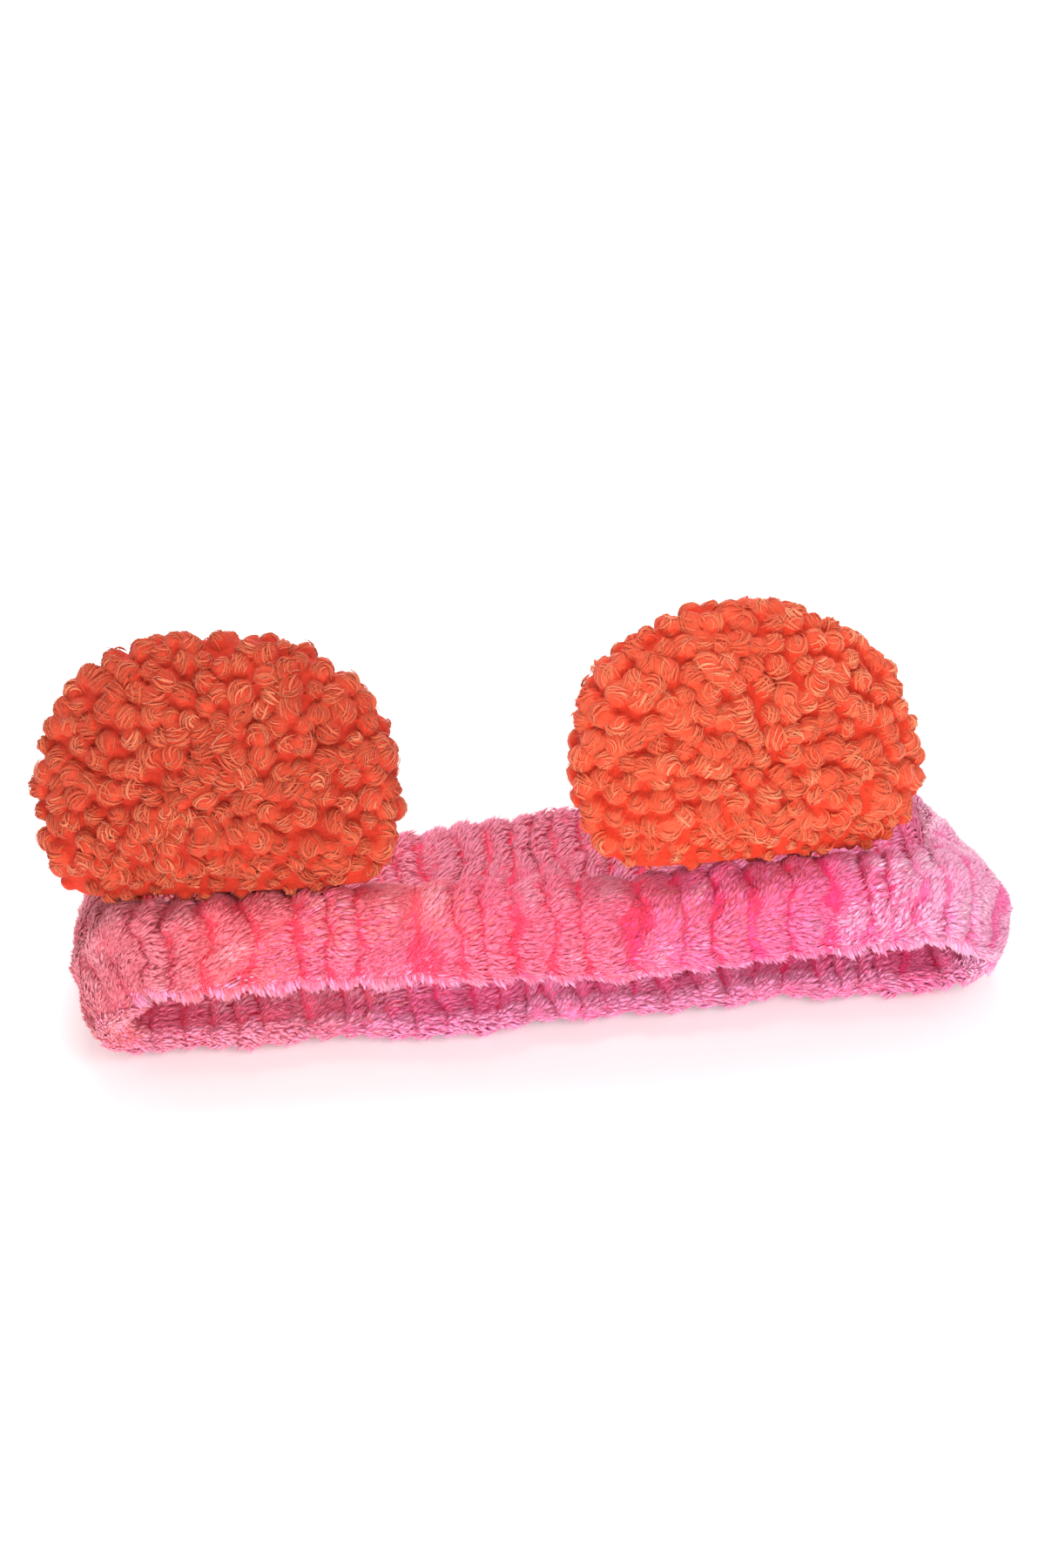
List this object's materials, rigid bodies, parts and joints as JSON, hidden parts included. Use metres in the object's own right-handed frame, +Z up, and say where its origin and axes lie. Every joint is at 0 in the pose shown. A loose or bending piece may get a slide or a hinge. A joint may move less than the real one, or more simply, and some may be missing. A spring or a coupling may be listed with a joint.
{
  "type": "spa headband",
  "caption": "Ruched plush elastic headband loop lying on its back half, with its front half rolled above it and rounded stuffed curly ears sewn along the roll.",
  "frame": {"origin": "middle of the face on which the back half of the band rests, on the table", "axes": "+X along the loop to the viewer's right, +Y away from the viewer, from the open lower edge towards the ears, +Z up"},
  "size_m": [0.2499, 0.0771, 0.103],
  "materials": {
    "outer_fleece": "soft coral fleece with a short brushed pile",
    "inner_fleece": "soft coral fleece with a short brushed pile",
    "elastic": "flat woven elastic",
    "pink_thread": "sewing thread",
    "sherpa": "curly sherpa pile",
    "coral_thread": "sewing thread",
    "stuffing": "loose polyester fibre"
  },
  "bodies": {
    "back_band": {"back_outer_fleece": "outer_fleece", "back_inner_fleece": "inner_fleece", "back_elastic": "elastic", "back_near_seam": "pink_thread", "back_far_seam": "pink_thread", "left_side_seam": "pink_thread", "right_side_seam": "pink_thread"},
    "front_band": {"front_outer_fleece": "outer_fleece", "front_inner_fleece": "inner_fleece", "front_elastic": "elastic", "front_near_seam": "pink_thread", "front_far_seam": "pink_thread", "left_ear_base_seam": "coral_thread", "right_ear_base_seam": "coral_thread"},
    "left_ear": {"left_ear_front_panel": "sherpa", "left_ear_back_panel": "sherpa", "left_ear_stuffing": "stuffing", "left_ear_rim_seam": "coral_thread"},
    "right_ear": {"right_ear_front_panel": "sherpa", "right_ear_back_panel": "sherpa", "right_ear_stuffing": "stuffing", "right_ear_rim_seam": "coral_thread"}
  },
  "joints": [
    {"name": "loop_open", "type": "slide", "parent": "back_band", "child": "front_band", "axis": [0, 0, 1], "range_m": [0, 0.045]},
    {"name": "left_ear_fold", "type": "hinge", "parent": "front_band", "child": "left_ear", "pos_m": [-0.082, -0.01951, 0.04603], "axis": [0.9903, -0.1066, 0.0895], "range_deg": [-40, 40], "stiffness_Nm_per_rad": 0.15},
    {"name": "right_ear_fold", "type": "hinge", "parent": "front_band", "child": "right_ear", "pos_m": [0.053, -0.01951, 0.04603], "axis": [0.9903, 0.1066, -0.0895], "range_deg": [-40, 40], "stiffness_Nm_per_rad": 0.15}
  ]
}
